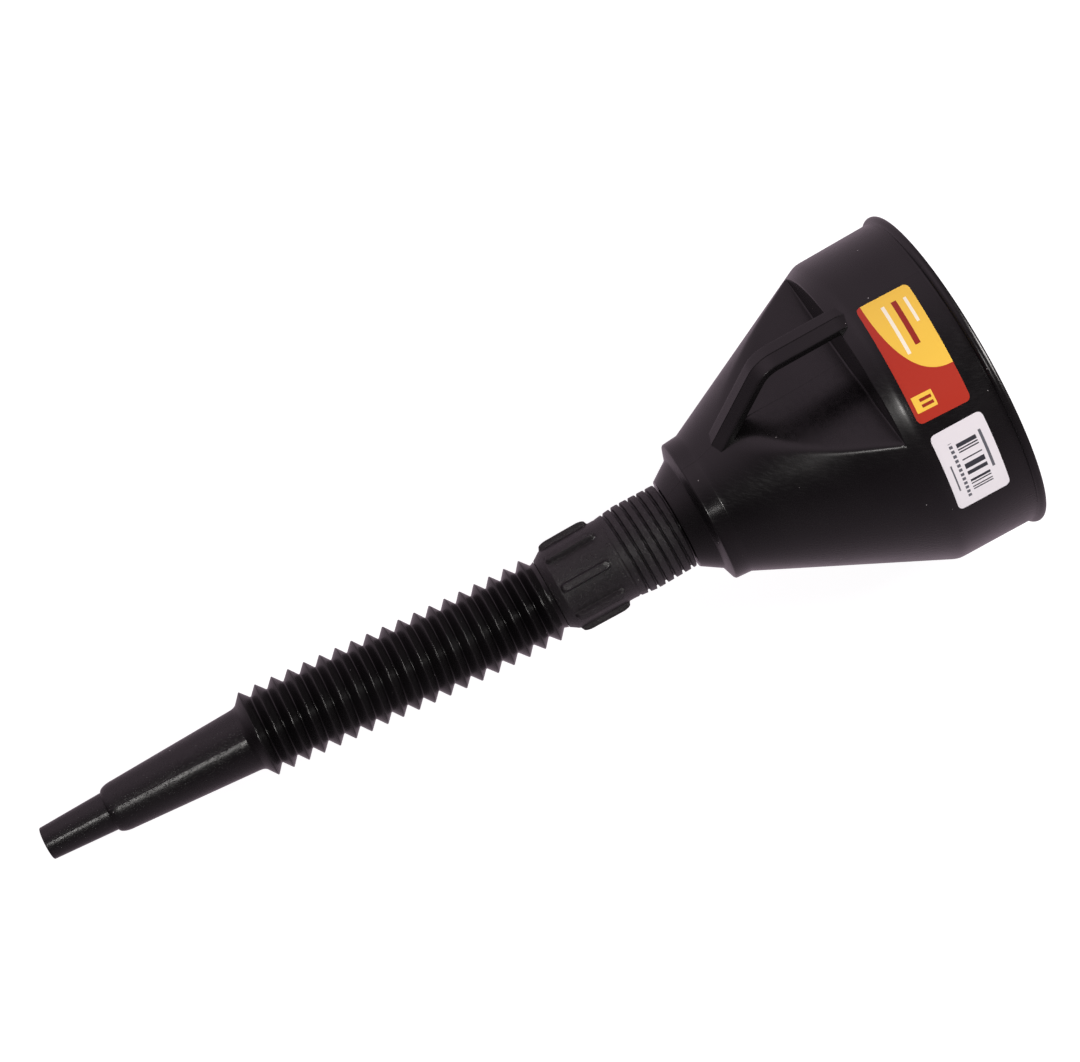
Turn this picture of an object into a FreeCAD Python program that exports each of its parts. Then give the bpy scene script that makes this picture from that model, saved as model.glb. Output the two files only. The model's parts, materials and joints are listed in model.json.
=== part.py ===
import FreeCAD, Part
import math
import os
import re

from FreeCAD import Placement, Rotation, Vector

# A filler funnel, lying on its side: a bowl with a moulded handle, a strainer that lifts out of it, and a
# one-piece spout with a grip collar, a bellows that bends by hand and a stepped nozzle.
#
# Each piece is first made upright in the funnel's own frame: Z runs down the axis from the rim to the
# nozzle, X points from the axis to the handle. Stations are distances along Z from the rim. Then every
# piece is laid down together: mouth to +X, handle on top, band and nozzle tip on the ground.
# Radii are of outside surfaces unless their names say otherwise. Lengths are in millimetres.
SIZES = {
    # Rim bead, rolled outwards, with the narrow flat that it stands on when the mouth is down.
    "bead_centre_radius": 77.7,
    "bead_tube_radius": 2.3,
    "bead_flat_height": 1.8,
    # Bowl: near-cylindrical band, cone, seat ring, shoulder and lower neck. The wall is measured
    # square to the axis.
    "wall": 1.6,
    "band_top_radius": 77.8,
    "band_end": 40.5,
    "band_end_radius": 77.3,
    "cone_end": 126.3,
    "cone_end_radius": 35.6,
    "seat_ring_end": 134.3,
    "seat_ring_radius": 35.0,
    "shoulder_end": 136.9,
    "shoulder_radius": 28.1,
    "neck_end": 145.9,
    "neck_radius": 22.2,
    "seat_floor": 133.0,
    "seat_floor_inside_radius": 28.0,
    "neck_floor": 144.3,
    "neck_inside_radius": 21.6,
    # Snout that the spout screws onto.
    "snout_end": 171.0,
    "snout_radius": 17.6,
    "snout_bore_radius": 16.0,
    "snout_ridge": 0.9,
    "first_ridge": 152.0,
    "thread_pitch": 4.5,
    # Flat recess that makes room for the fingers, parallel to the axis.
    "recess_distance": 47.4,
    "recess_start": 47.3,
    "recess_end": 120.0,
    "recess_reach": 100.0,
    # Handle: a straight run level with the band, a bend, and a leg that leans in to the cone.
    "handle_radius": 77.6,
    "handle_width": 13.2,
    "handle_thickness": 5.2,
    "handle_run_start": 42.0,
    "handle_bend_start": 78.0,
    "handle_bend_radius": 16.5,
    "handle_lean": 50.0,
    "handle_leg_length": 43.5,
    # Labels on the band.
    "label_thickness": 0.2,
    "label_start": 12.0,
    "label_length": 25.6,
    "label_corner": 2.5,
    "front_label_width": 60.5,
    "front_label_turn": 23.9,
    "front_label_tilt": -2.2,
    "stock_label_width": 41.0,
    "stock_label_turn": 66.2,
    "stock_label_tilt": -0.5,
    # Strainer: a ring that rests in the seat, and a disc of gauze on its flange.
    "strainer_start": 129.0,
    "strainer_end": 132.7,
    "strainer_radius": 33.1,
    "strainer_inside_radius": 31.2,
    "flange_start": 131.5,
    "flange_inside_radius": 29.4,
    "gauze_radius": 31.0,
    "gauze_thickness": 0.5,
    # Spout mouth with its screw thread, and the grip collar with its ribs.
    "mouth_start": 147.0,
    "mouth_radius": 21.4,
    "mouth_bore_radius": 18.8,
    "mouth_end": 179.0,
    "first_groove": 150.2,
    "groove_width": 1.1,
    "groove_radius": 19.9,
    "grip_radius": 20.5,
    "grip_end": 209.0,
    "grip_end_radius": 20.0,
    "grip_inside_radius": 18.3,
    "rib_start": 182.0,
    "rib_length": 25.4,
    "rib_width": 4.3,
    "rib_radius": 23.1,
    "rib_root_radius": 19.0,
    "rib_turn": 36.0,
    # Bellows: sharp crests and valleys. Neighbours leave a gap at each valley, where the wall folds.
    "first_valley": 214.2,
    "crest_pitch": 7.87,
    "crest_radius": 20.75,
    "valley_radius": 16.3,
    "bellows_wall": 1.45,
    "fold_gap": 2.0,
    # The bend that the spout was left in, towards the handle: degrees of turn at each valley.
    "bend_turn": 1.08,
    "return_turn": 1.425,
    # Nozzle, in stations from the last valley.
    "nozzle_radius": 15.3,
    "nozzle_taper_end": 64.3,
    "nozzle_taper_radius": 12.0,
    "nozzle_step_end": 71.2,
    "nozzle_step_radius": 9.4,
    "nozzle_end": 102.9,
    "nozzle_tip_radius": 7.85,
    "nozzle_wall": 1.2,
}
SNOUT_RIDGES = 4
MOUTH_GROOVES = 6
GRIP_RIBS = 8
BELLOWS_RINGS = 19
BENT_VALLEYS = range(0, 8)
RETURN_VALLEYS = range(16, 20)
MEASURING_TOLERANCE = 0.02

document = FreeCAD.newDocument("Funnel")
sheet = document.addObject("Spreadsheet::Sheet", "Sizes")
for row, (alias, value) in enumerate(SIZES.items(), 1):
    sheet.set(f"A{row}", str(value))
    sheet.setAlias(f"A{row}", alias)
document.recompute()


def size(alias):
    """The number in one of the sheet's cells."""
    return float(sheet.get(alias))


def bind(solid, **formulas):
    """Bind properties to formulas of cells; station and across are places along Z and Y."""
    paths = {"station": "Placement.Base.z", "across": "Placement.Base.y", "out": "Placement.Base.x"}
    for name, formula in formulas.items():
        cells = re.sub(r"[a-z]+(_[a-z]+)+|wall", lambda word: "Sizes." + word.group(), formula)
        solid.setExpression(paths.get(name, name), cells)


def frustum(name, start, end, start_radius, end_radius):
    """A tapered round solid on the axis between two stations."""
    solid = document.addObject("Part::Cone", name)
    bind(solid, station=start, Height=f"({end}) - ({start})")
    bind(solid, Radius1=start_radius, Radius2=end_radius)
    return solid


def cylinder(name, start, end, radius):
    """A straight round solid on the axis between two stations."""
    solid = document.addObject("Part::Cylinder", name)
    bind(solid, station=start, Height=f"({end}) - ({start})", Radius=radius)
    return solid


def block(name, out, across, station, depth, width, length):
    """A box: depth away from the axis, width across it and length along it."""
    solid = document.addObject("Part::Box", name)
    bind(solid, out=out, across=across, station=station, Length=depth, Width=width, Height=length)
    return solid


def stack(name, stations):
    """Round solids end to end: (station, radius) pairs down the axis, joined in one."""
    pieces = []
    for index, ((start, start_radius), (end, end_radius)) in enumerate(zip(stations, stations[1:])):
        piece_name = f"{name}{index}"
        if start_radius == end_radius:
            pieces.append(cylinder(piece_name, start, end, start_radius))
        else:
            pieces.append(frustum(piece_name, start, end, start_radius, end_radius))
    return join(name, pieces)


def join(name, pieces):
    """All the pieces in one solid."""
    fused = document.addObject("Part::MultiFuse", name)
    fused.Shapes = pieces
    return fused


def cut(name, base, tool):
    """The base without the tool's space."""
    result = document.addObject("Part::Cut", name)
    result.Base = base
    result.Tool = tool
    return result


def common(name, pieces):
    """Only the space that all the pieces share."""
    shared = document.addObject("Part::MultiCommon", name)
    shared.Shapes = pieces
    return shared


def bowl_recess(name, distance, start):
    """The space beyond the recess's flat, square to the handle's plane."""
    return block(name, distance, "-recess_reach", start, "recess_reach", "2 * recess_reach",
                 f"recess_end - ({start})")


def handle():
    """Straight run, bend and leaning leg, all of one section, in the handle's plane."""
    half_width = "-handle_width / 2"
    bend_centre = "handle_radius - handle_bend_radius"
    inner_radius = "handle_bend_radius - handle_thickness"
    run = block("HandleRun", "handle_radius - handle_thickness", half_width, "handle_run_start",
                "handle_thickness", "handle_width", "handle_bend_start - handle_run_start")
    sectors = []
    for name, radius in (("HandleBendOut", "handle_bend_radius"), ("HandleBendIn", inner_radius)):
        sector = document.addObject("Part::Cylinder", name)
        sector.Placement.Rotation = Rotation(Vector(1, 0, 0), 90)
        bind(sector, Radius=radius, Height="handle_width", Angle="handle_lean")
        bind(sector, out=bend_centre, across="handle_width / 2", station="handle_bend_start")
        sectors.append(sector)
    leg = block("HandleLeg", f"{bend_centre} + ({inner_radius}) * cos(handle_lean)", half_width,
                f"handle_bend_start + ({inner_radius}) * sin(handle_lean)",
                "handle_thickness", "handle_width", "handle_leg_length")
    leg.Placement.Rotation = Rotation(Vector(0, 1, 0), -size("handle_lean"))
    return join("Handle", [run, cut("HandleBend", *sectors), leg])


def bowl():
    """Bead, band, cone, seat ring, neck and snout in one moulding, with the handle."""
    band_end = ("band_end", "band_end_radius")
    cone_end = ("cone_end", "cone_end_radius")
    outside = stack("BowlOutside", [
        ("0", "band_top_radius"), band_end, cone_end,
        ("seat_ring_end", "seat_ring_radius"), ("shoulder_end", "shoulder_radius"),
        ("neck_end", "neck_radius")])
    bead = document.addObject("Part::Torus", "Bead")
    bind(bead, Radius1="bead_centre_radius", Radius2="bead_tube_radius")
    above_flat = cylinder("AboveFlat", "-2 * bead_tube_radius", "-bead_flat_height", "recess_reach")
    snout = cylinder("SnoutBarrel", "neck_end - wall", "snout_end", "snout_radius")
    ridges = []
    for index in range(SNOUT_RIDGES):
        ridge = document.addObject("Part::Torus", f"Ridge{index}")
        bind(ridge, Radius1="snout_radius", Radius2="snout_ridge")
        bind(ridge, station=f"first_ridge + {index} * thread_pitch")
        ridges.append(ridge)
    recessed = cut("RecessedOutside", outside, bowl_recess("Recess", "recess_distance", "recess_start"))
    moulding = join("Moulding", [recessed, cut("FlatBead", bead, above_flat), snout, handle()] + ridges)
    mouth = cylinder("Mouth", "-2 * bead_tube_radius", "0", "band_top_radius - wall")
    inside = stack("BowlInside", [
        ("0", "band_top_radius - wall"), ("band_end", "band_end_radius - wall"),
        ("cone_end", "cone_end_radius - wall"), ("seat_floor", "seat_ring_radius - wall")])
    shelf = bowl_recess("InsideShelf", "recess_distance - wall", "recess_start - wall")
    throat = frustum("Throat", "seat_floor", "neck_floor", "seat_floor_inside_radius", "neck_inside_radius")
    bore = cylinder("SnoutBore", "neck_floor", "snout_end + wall", "snout_bore_radius")
    cavity = join("Cavity", [mouth, cut("ShelvedInside", inside, shelf), throat, bore])
    return cut("Bowl", moulding, cavity)


def label(name, width, tilt):
    """A thin rounded rectangle wrapped on the band, facing +X until it is turned to its place."""
    radius_at = "band_top_radius - (band_top_radius - band_end_radius) * ({}) / band_end"
    skin_start = "label_start - wall"  # a little before the label, as its tilted corner reaches past it
    skins = []
    for skin, extra in (("Over", "label_thickness"), ("Under", "0")):
        skins.append(frustum(name + skin, skin_start, "band_end",
                             radius_at.format(skin_start) + f" + {extra}",
                             radius_at.format("band_end") + f" + {extra}"))
    across = f"-{width} / 2 * cos({tilt}) + label_length / 2 * sin({tilt})"
    along = f"-{width} / 2 * sin({tilt}) - label_length / 2 * cos({tilt})"
    plate = block(name + "Plate", "recess_distance", across, f"label_start + label_length / 2 + {along}",
                  "recess_reach", width, "label_length")
    plate.Placement.Rotation = Rotation(Vector(1, 0, 0), size(tilt))
    document.recompute()
    rounded = document.addObject("Part::Fillet", name + "Rounded")
    rounded.Base = plate
    corner = size("label_corner")
    outward = [index for index, edge in enumerate(plate.Shape.Edges, 1)
               if abs(edge.tangentAt(edge.FirstParameter).x) > 0.99]
    rounded.Edges = [(index, corner, corner) for index in outward]
    return common(name, [cut(name + "Skin", *skins), rounded])


def strainer_ring():
    """A short tube with an inward flange that the gauze lies on."""
    outside = cylinder("StrainerOutside", "strainer_start", "strainer_end", "strainer_radius")
    inside = join("StrainerInside", [
        cylinder("StrainerWell", "strainer_start", "flange_start", "strainer_inside_radius"),
        cylinder("FlangeHole", "flange_start", "strainer_end", "flange_inside_radius")])
    return cut("StrainerRing", outside, inside)


def gauze():
    """The disc of woven wire, as a plain plate."""
    plate = document.addObject("Part::Compound", "Gauze")
    plate.Links = [cylinder("GauzeDisc", "flange_start - gauze_thickness", "flange_start", "gauze_radius")]
    return plate


def grip_rib(index):
    """One raised rib with round ends, standing out from the grip."""
    middle = "rib_start + rib_width / 2"
    height = "rib_radius - rib_root_radius"
    bar = block(f"RibBar{index}", "rib_root_radius", "-rib_width / 2", middle, height, "rib_width",
                "rib_length - rib_width")
    pieces = [bar]
    for side, station in (("Top", middle), ("Bottom", "rib_start + rib_length - rib_width / 2")):
        end = document.addObject("Part::Cylinder", f"Rib{side}{index}")
        end.Placement.Rotation = Rotation(Vector(0, 1, 0), 90)
        bind(end, out="rib_root_radius", station=station, Radius="rib_width / 2", Height=height)
        pieces.append(end)
    rib = join(f"Rib{index}", pieces)
    turn = -size("rib_turn") + index * 360 / GRIP_RIBS
    rib.Placement.Rotation = Rotation(Vector(0, 0, 1), turn)
    return rib


def spout_collar():
    """The spout's threaded mouth and grip, down to the first fold of the bellows."""
    collar_end = "first_valley - fold_gap / 2"
    fold_radius = "valley_radius + (crest_radius - valley_radius) * fold_gap / crest_pitch"
    outside = stack("CollarOutside", [
        ("mouth_start", "mouth_radius"), ("mouth_end", "mouth_radius"),
        ("mouth_end + wall", "grip_radius"), ("grip_end", "grip_end_radius"), (collar_end, fold_radius)])
    grooves = []
    for index in range(MOUTH_GROOVES):
        start = f"first_groove + {index} * thread_pitch"
        end = f"{start} + groove_width"
        grooves.append(cut(f"Groove{index}", cylinder(f"GrooveOut{index}", start, end, "rib_radius"),
                           cylinder(f"GrooveIn{index}", start, end, "groove_radius")))
    grooved = cut("GroovedMouth", outside, join("Grooves", grooves))
    ribs = [grip_rib(index) for index in range(GRIP_RIBS)]
    inside = stack("CollarInside", [
        ("mouth_start", "mouth_bore_radius"), ("mouth_end", "mouth_bore_radius"),
        ("grip_end", "grip_inside_radius"), (collar_end, f"{fold_radius} - bellows_wall")])
    return cut("SpoutCollar", join("RibbedCollar", [grooved] + ribs), inside)


def bellows_ring(index):
    """One convolution: a crest with half of the fold on each side, its crest on the origin."""
    reach = "(crest_pitch - fold_gap) / 2"
    fold_radius = "(valley_radius + (crest_radius - valley_radius) * fold_gap / crest_pitch)"
    outside = stack(f"RingOutside{index}", [
        (f"-{reach}", fold_radius), ("0", "crest_radius"), (reach, fold_radius)])
    inside = stack(f"RingInside{index}", [
        (f"-{reach}", f"{fold_radius} - bellows_wall"), ("0", "crest_radius - bellows_wall"),
        (reach, f"{fold_radius} - bellows_wall")])
    return cut(f"Ring{index}", outside, inside)


def nozzle():
    """The tapered and stepped end of the spout, from the last valley down."""
    stations = [
        ("fold_gap / 2", "nozzle_radius"), ("nozzle_taper_end", "nozzle_taper_radius"),
        ("nozzle_step_end", "nozzle_step_radius"), ("nozzle_end", "nozzle_tip_radius")]
    outside = stack("NozzleOutside", stations)
    inside = stack("NozzleInside", [(station, f"{radius} - nozzle_wall") for station, radius in stations])
    return cut("Nozzle", outside, inside)


def bent_valleys():
    """(place, heading) at each valley of the bent spout: the heading leans towards the handle."""
    place = Vector(0, 0, size("first_valley"))
    heading = 0.0
    valleys = []
    for index in range(BELLOWS_RINGS + 1):
        if index in BENT_VALLEYS:
            heading += size("bend_turn")
        if index in RETURN_VALLEYS:
            heading -= size("return_turn")
        valleys.append((place, heading))
        place = place + along(heading) * size("crest_pitch")
    return valleys


def along(heading):
    """Unit vector down the spout at a heading."""
    return Vector(math.sin(math.radians(heading)), 0, math.cos(math.radians(heading)))


def lean(heading):
    """The turn that points a piece down the spout at a heading."""
    return Rotation(Vector(0, 1, 0), heading)


def lying_tilt(tip, tip_heading):
    """The slope of the axis that sets both the band's end and the nozzle's tip on the ground."""
    tip_low = tip - lean(tip_heading).multVec(Vector(size("nozzle_tip_radius"), 0, 0))
    rise = size("band_end_radius") + tip_low.x
    return math.degrees(math.atan2(rise, tip_low.z - size("band_end")))


valleys = bent_valleys()
last_valley, nozzle_heading = valleys[-1]
upright = {
    "bowl": (bowl(), Placement()),
    "front_label": (label("FrontLabel", "front_label_width", "front_label_tilt"),
                    Placement(Vector(), Rotation(Vector(0, 0, 1), -size("front_label_turn")))),
    "stock_label": (label("StockLabel", "stock_label_width", "stock_label_tilt"),
                    Placement(Vector(), Rotation(Vector(0, 0, 1), -size("stock_label_turn")))),
    "strainer_ring": (strainer_ring(), Placement()),
    "strainer_gauze": (gauze(), Placement()),
    "spout_collar": (spout_collar(), Placement()),
}
for index in range(BELLOWS_RINGS):
    valley, heading = valleys[index]
    crest = valley + along(heading) * (size("crest_pitch") / 2)
    upright[f"bellows_ring_{index + 1:02d}"] = (bellows_ring(index + 1), Placement(crest, lean(heading)))
upright["nozzle"] = (nozzle(), Placement(last_valley, lean(nozzle_heading)))
document.recompute()

# Lay the upright funnel down, then stand it over the origin.
tip = last_valley + along(nozzle_heading) * size("nozzle_end")
tilt = lying_tilt(tip, nozzle_heading)
lying = Placement(Vector(), Rotation(Vector(0, 1, 0), -90 - tilt))
parts = []
for node, (piece, place) in upright.items():
    local = piece.Placement
    piece.Placement = lying.multiply(place).multiply(local)
    piece.Label = node
    parts.append(piece)
document.recompute()
box = FreeCAD.BoundBox()
for piece in parts:
    for point in piece.Shape.tessellate(MEASURING_TOLERANCE)[0]:
        box.add(point)
shift = Vector(-(box.XMin + box.XMax) / 2, -(box.YMin + box.YMax) / 2, -box.ZMin)
for piece in parts:
    piece.Placement = Placement(shift, Rotation()).multiply(piece.Placement)
document.recompute()

for item in document.Objects:
    if "Invalid" in item.State or "Error" in item.State:
        raise RuntimeError(f"{item.Label} did not build: {item.State}")
for piece in parts:
    if piece.Shape.isNull() or not piece.Shape.isValid():
        raise RuntimeError(f"{piece.Label} has no valid shape")

os.makedirs("parts", exist_ok=True)
for piece in parts:
    piece.Shape.exportStep(f"parts/{piece.Label}.step")

# The joints' places, in metres, for the record.
ground = Placement(shift, Rotation()).multiply(lying)
print(f"tilt {tilt:.4f} box {box.XLength:.3f} {box.YLength:.3f} {box.ZLength:.3f}")
axis = ground.Rotation.multVec(Vector(0, 0, 1))
print(f"axis {axis.x:.6f} {axis.y:.6f} {axis.z:.6f}")
rim = ground.multVec(Vector(0, 0, 0))
print(f"rim {rim.x / 1000:.6f} {rim.y / 1000:.6f} {rim.z / 1000:.6f}")
for index, (valley, heading) in enumerate(valleys):
    spot = ground.multVec(valley)
    side = ground.Rotation.multVec(lean(heading).multVec(Vector(1, 0, 0)))
    print(f"valley {index} {spot.x / 1000:.6f} {spot.z / 1000:.6f} {heading:.3f} {side.x:.6f} {side.z:.6f}")
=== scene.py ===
import json
import math

import bmesh
import bpy
import numpy as np
from mathutils import Matrix, Vector

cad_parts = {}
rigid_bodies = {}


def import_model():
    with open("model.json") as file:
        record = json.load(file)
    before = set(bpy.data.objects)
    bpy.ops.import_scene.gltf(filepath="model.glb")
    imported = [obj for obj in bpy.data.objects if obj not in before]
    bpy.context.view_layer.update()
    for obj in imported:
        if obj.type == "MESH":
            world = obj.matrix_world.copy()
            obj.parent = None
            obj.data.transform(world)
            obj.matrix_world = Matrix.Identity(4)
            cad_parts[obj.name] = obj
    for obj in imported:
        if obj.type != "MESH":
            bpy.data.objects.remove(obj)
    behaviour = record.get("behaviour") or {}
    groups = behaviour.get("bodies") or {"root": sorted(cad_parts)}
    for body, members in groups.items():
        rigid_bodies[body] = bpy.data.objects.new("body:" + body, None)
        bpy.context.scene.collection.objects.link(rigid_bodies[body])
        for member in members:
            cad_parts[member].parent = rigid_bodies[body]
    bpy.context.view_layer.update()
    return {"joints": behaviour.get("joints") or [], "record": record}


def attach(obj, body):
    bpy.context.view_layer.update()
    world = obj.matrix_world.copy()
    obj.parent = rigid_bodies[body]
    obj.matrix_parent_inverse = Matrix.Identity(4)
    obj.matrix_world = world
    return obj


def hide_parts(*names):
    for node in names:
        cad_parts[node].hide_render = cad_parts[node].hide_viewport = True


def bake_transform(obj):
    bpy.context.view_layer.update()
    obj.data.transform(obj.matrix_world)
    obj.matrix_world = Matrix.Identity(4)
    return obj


# A black filler funnel lying on a white table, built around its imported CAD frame. Shapes are worked out in
# the funnel's own upright frame, in millimetres: Z runs down the axis from the rim, X points to the handle.
# They are then laid down in the row frame, in metres, where the joints and mounts say.
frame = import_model()
MM = 0.001
RECORD = frame["record"]
JOINTS = {joint["name"]: joint for joint in frame["joints"]}
MOUNTS = {mount["name"]: mount for mount in RECORD["mounts"]}

# Bowl, as the CAD has it.
BEAD_CENTRE_RADIUS = 77.7
BEAD_FLAT = 1.8
BEAD_TUBE = 2.28
BEAD_END = 2.4
WALL = 1.6
BAND_TOP_RADIUS = 77.8
BAND_END = 40.5
BAND_END_RADIUS = 77.3
CONE_END = 126.3
CONE_END_RADIUS = 35.6
SEAT_END = 134.3
SEAT_RADIUS = 35.0
SHOULDER_END = 136.6
SHOULDER_RADIUS = 28.4
NECK_END = 145.9
NECK_RADIUS = 22.2
SNOUT_END = 171.0
SNOUT_RADIUS = 17.6
SNOUT_BORE = 16.0
RECESS_DISTANCE = 47.4
RECESS_START = 47.3
# Spout.
MOUTH_START = 147.0
MOUTH_RADIUS = 21.45
MOUTH_BORE = 18.8
THREAD_PITCH = 4.5
FIRST_VALLEY = 214.2
CREST_PITCH = 7.87
CREST_RADIUS = 20.75
VALLEY_RADIUS = 16.3
BELLOWS_WALL = 1.2
RING_COUNT = 19
# The way from the handle round to the side that faces the camera, in degrees.
CAMERA_TURN = -36.7


def frame_from(origin, down):
    """A frame in millimetres with Z along down and Y across the funnel."""
    side = Vector((0, 1, 0))
    out = side.cross(down)
    matrix = Matrix.Identity(4)
    for column, axis in enumerate((out, side, down)):
        for row in range(3):
            matrix[row][column] = axis[row] * MM
    for row in range(3):
        matrix[row][3] = origin[row]
    return matrix


def bowl_frame():
    """The upright funnel's frame: origin at the rim's centre, Z down the axis."""
    down = -Vector(JOINTS["strainer_lift"]["axis"]).normalized()
    out = Vector((0, 1, 0)).cross(down)
    origin = Vector(MOUNTS["rim_face"]["pos_m"]) + (BEAD_CENTRE_RADIUS * out + BEAD_FLAT * down) * MM
    return frame_from(origin, down)


FUNNEL = bowl_frame()


def laid_down(points, place):
    """Points in millimetres of a frame, laid down in the row frame in metres."""
    return points @ np.array(place)[:3, :3].T + np.array(place)[:3, 3]


def from_points(name, rows, place, wrap_rows=True):
    """A mesh of quads over a grid of points, closed all round, in millimetres of the frame that places it."""
    rows = np.asarray(rows, float)
    count, width = rows.shape[:2]
    points = laid_down(rows.reshape(-1, 3), place)
    down = np.arange(count if wrap_rows else count - 1)
    row, column = np.meshgrid(down, np.arange(width), indexing="ij")
    after, beside = (row + 1) % count, (column + 1) % width
    quads = np.stack([row * width + column, row * width + beside,
                      after * width + beside, after * width + column], -1).reshape(-1, 4)
    mesh = bpy.data.meshes.new(name)
    mesh.from_pydata(points.tolist(), [], quads.tolist())
    return as_piece(name, mesh)


def shade_smooth(mesh, sharp_angle=35):
    """Smooth shading that keeps real edges."""
    mesh.polygons.foreach_set("use_smooth", [True] * len(mesh.polygons))
    mesh.set_sharp_from_angle(angle=math.radians(sharp_angle))


def as_piece(name, mesh, sharp_angle=35):
    """Outward normals, smooth shading, and an object for the mesh."""
    work = bmesh.new()
    work.from_mesh(mesh)
    bmesh.ops.recalc_face_normals(work, faces=work.faces)
    work.to_mesh(mesh)
    work.free()
    shade_smooth(mesh, sharp_angle)
    piece = bpy.data.objects.new(name, mesh)
    bpy.context.scene.collection.objects.link(piece)
    return piece


def rounded(corners, step=12.0):
    """An outline through corners (station, radius, rounding), each rounding a run of points on an arc."""
    outline = []
    for index, (station, radius, rounding) in enumerate(corners):
        here = np.array([station, radius], float)
        if rounding == 0 or index in (0, len(corners) - 1):
            outline.append(here)
            continue
        back = np.array(corners[index - 1][:2], float) - here
        ahead = np.array(corners[index + 1][:2], float) - here
        room = 0.49 * min(np.linalg.norm(back), np.linalg.norm(ahead))
        back, ahead = back / np.linalg.norm(back), ahead / np.linalg.norm(ahead)
        half = math.acos(float(np.clip(back @ ahead, -1, 1))) / 2
        if half > math.radians(89.5):
            outline.append(here)
            continue
        reach = min(rounding / math.tan(half), room)
        radius_now = reach * math.tan(half)
        centre = here + (back + ahead) / np.linalg.norm(back + ahead) * radius_now / math.sin(half)
        start, end = here + back * reach - centre, here + ahead * reach - centre
        turn = math.pi - 2 * half
        count = max(2, int(math.degrees(turn) / step) + 1)
        for part in np.linspace(0, 1, count + 1):
            point = start * math.sin((1 - part) * turn) + end * math.sin(part * turn)
            outline.append(centre + point / math.sin(turn))
    return np.array(outline)


def refined(outline, longest):
    """The outline with its long straight runs divided."""
    points = [outline[0]]
    for before, after in zip(outline, outline[1:]):
        count = max(1, math.ceil(np.linalg.norm(after - before) / longest))
        points += [before + (after - before) * part / count for part in range(1, count + 1)]
    return np.array(points)


def turned(outline, angles):
    """Points of an outline turned about the axis, one row a station."""
    stations, radii = outline[:, 0], outline[:, 1]
    return np.stack([radii[:, None] * np.cos(angles), radii[:, None] * np.sin(angles),
                     np.broadcast_to(stations[:, None], (len(stations), len(angles)))], -1)


def smooth_step(value, low, high):
    part = np.clip((value - low) / (high - low), 0, 1)
    return part * part * (3 - 2 * part)


def smooth_min(first, second, blend):
    near = np.clip(blend - np.abs(first - second), 0, None) / np.maximum(blend, 1e-6)
    return np.minimum(first, second) - near * near * blend / 4


def within_half_turn(angle):
    """The same direction, in degrees from -180 to 180."""
    return (angle + 180) % 360 - 180


def angles_with_seams(spacing_at, seams, seam_width):
    """Angles all round, in radians: fine or coarse as spacing_at says, with extra ones at each seam."""
    closing_gap, room_at_seam = 0.2, 1.4 * seam_width
    angles = []
    angle = -180.0
    while angle < 180.0 - closing_gap:
        angles.append(angle)
        angle += spacing_at(angle)
    for seam in seams:
        seam = within_half_turn(seam)
        angles = [a for a in angles if abs(within_half_turn(a - seam)) > room_at_seam]
        angles += [seam + part * seam_width for part in (-1, -0.5, 0, 0.5, 1)]
    return np.radians(np.unique(np.round([within_half_turn(a) for a in angles], 5)))


def seam_ridge(angles, seams, width, height):
    """Height of the parting line's ridge at each angle."""
    ridge = np.zeros(len(angles))
    for seam in seams:
        away = np.abs(within_half_turn(np.degrees(angles) - seam))
        ridge = np.maximum(ridge, height * np.clip(1 - away / width, 0, 1))
    return ridge


# ---------------------------------------------------------------- bowl

LEDGE_STEPS = (-0.45, -0.35, -0.2, -0.06, -0.01, 0.01, 0.06, 0.2, 0.35, 0.45)
LEDGE_SHARES = (0, 0.002, 0.008, 0.02, 0.05, 0.95, 0.98, 0.992, 0.998, 1)
RECESS_DISHING = 1.1
BOWL_SEAMS = (0, 180)
BOWL_SEAM_WIDTH = 0.35
BOWL_SEAM_HEIGHT = 0.07
CONE_SLOPE = (BAND_END_RADIUS - CONE_END_RADIUS) / (CONE_END - BAND_END)


def recessed(outline, angles, distance, ledge):
    """Turn an outline, pulled in to the flat recess past its ledge: crisp there, softer further down."""
    points = turned(outline, angles)
    station, radii = outline[:, :1], outline[:, 1:]
    across = np.cos(angles)[None, :]
    depth = distance - RECESS_DISHING * smooth_step(station, ledge + 2, ledge + 28)
    facing, far_away = 0.25, 1e3
    limit = np.where(across > facing, depth / np.maximum(across, facing), far_away)
    blend = 0.4 + 1.3 * smooth_step(station, ledge, ledge + 9)
    blend = blend + 2.2 * smooth_step(station, ledge + 30, ledge + 62)
    share = np.interp(station - ledge, LEDGE_STEPS, LEDGE_SHARES)
    pulled = smooth_min(radii + 0 * limit, limit, blend)
    points[..., :2] *= (1 + (pulled - radii) * share / radii)[..., None]
    return points


def with_ledge(outline, ledge):
    """Extra stations close about the ledge, so that it stands square with a small rounding."""
    steps = ledge + np.array((-1.2,) + LEDGE_STEPS + (1.2,))
    extra = []
    for before, after in zip(outline, outline[1:]):
        extra.append(before)
        low, high = sorted((before[0], after[0]))
        inside = steps[(steps > low) & (steps < high)]
        for station in inside if after[0] > before[0] else inside[::-1]:
            extra.append(before + (after - before) * (station - before[0]) / (after[0] - before[0]))
    extra.append(outline[-1])
    return np.array(extra)


def screw(angles, stations, passes, flank, fade_in, fade_out):
    """How fully a right-hand thread stands at each point, 0 to 1. In line with the handle it passes a station."""
    stations = stations[:, None]
    turns = (stations - passes) / THREAD_PITCH - angles[None, :] / (2 * math.pi)
    away = np.abs((turns + 0.5) % 1 - 0.5) * THREAD_PITCH
    ends = smooth_step(stations, *fade_in) * (1 - smooth_step(stations, *fade_out))
    return (1 - smooth_step(away, *flank)) * ends


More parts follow.
